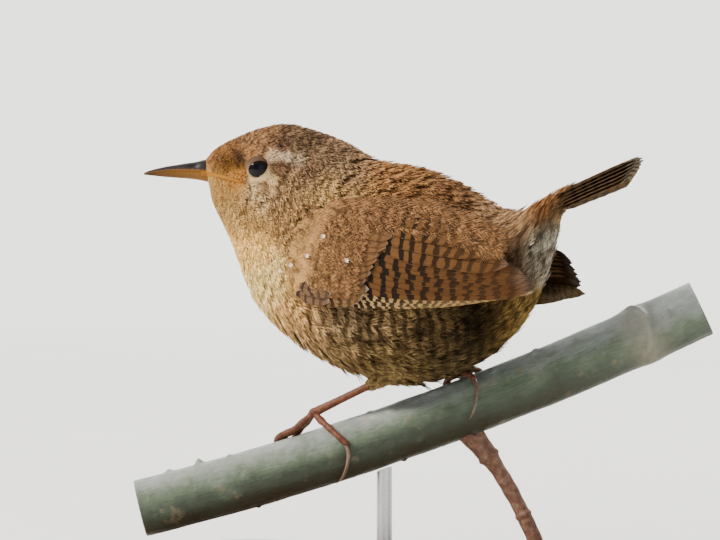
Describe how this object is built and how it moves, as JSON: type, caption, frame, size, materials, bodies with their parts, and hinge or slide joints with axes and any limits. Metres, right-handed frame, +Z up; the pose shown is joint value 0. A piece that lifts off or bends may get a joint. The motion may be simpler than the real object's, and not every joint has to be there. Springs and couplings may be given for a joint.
{
  "type": "perched wren model",
  "caption": "Life-size still model of a wren holding a sloping cut stem, held by a steel rod on a flat wooden base.",
  "frame": {"origin": "centre of the base's underside", "axes": "+X towards the tail, +Y towards the bird's right side, +Z up"},
  "size_m": [0.1007, 0.054, 0.0824],
  "materials": {
    "crown_brown": "streaked rufous-brown feathers",
    "breast_buff": "mottled buff feathers",
    "back_brown": "warm brown feathers",
    "wing_brown": "barred brown feathers",
    "tail_brown": "barred rufous feathers",
    "bill_horn": "dark horn",
    "bill_yellow": "orange-yellow horn",
    "eye_black": "wet glossy black",
    "leg_brown": "reddish-brown scales",
    "stem_green": "green bark with a pale bloom",
    "rod_steel": "brushed",
    "base_wood": "dark satin walnut"
  },
  "bodies": {
    "root": {"head": "crown_brown", "neck": "breast_buff", "torso": "back_brown", "rump": "back_brown", "thigh_left": "breast_buff", "wing_left": "wing_brown", "wing_right": "wing_brown", "tail": "tail_brown", "bill_upper": "bill_horn", "bill_lower": "bill_yellow", "eye_left": "eye_black", "eye_right": "eye_black", "leg_left": "leg_brown", "leg_right": "leg_brown", "perch_stem": "stem_green", "stand_rod": "rod_steel", "stand_base": "base_wood"}
  },
  "joints": []
}
